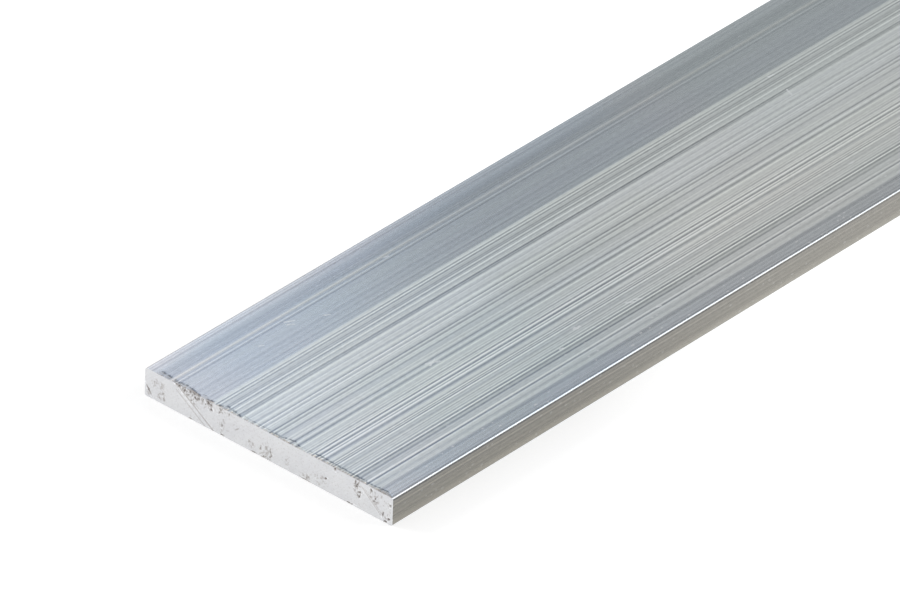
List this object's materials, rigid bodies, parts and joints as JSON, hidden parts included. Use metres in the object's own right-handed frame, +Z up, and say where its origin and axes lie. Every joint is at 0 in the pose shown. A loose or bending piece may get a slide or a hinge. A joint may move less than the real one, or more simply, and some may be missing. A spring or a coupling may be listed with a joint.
{
  "type": "metal flat bar",
  "caption": "Length of extruded aluminium flat bar with lightly rounded long edges and square sawn ends, mill finish, for brackets, frames and plates.",
  "frame": {"origin": "on the floor, under the middle of the bar as it lies flat on a wide face", "axes": "+X across the width, +Y along the length, away from the end shown nearest, +Z up through the thickness"},
  "size_m": [0.05, 0.5, 0.005],
  "materials": {
    "mill_aluminium": "mill finish as extruded, with fine die lines along the length and bare saw-cut ends"
  },
  "bodies": {
    "root": {"flat_bar": "mill_aluminium"}
  },
  "joints": []
}
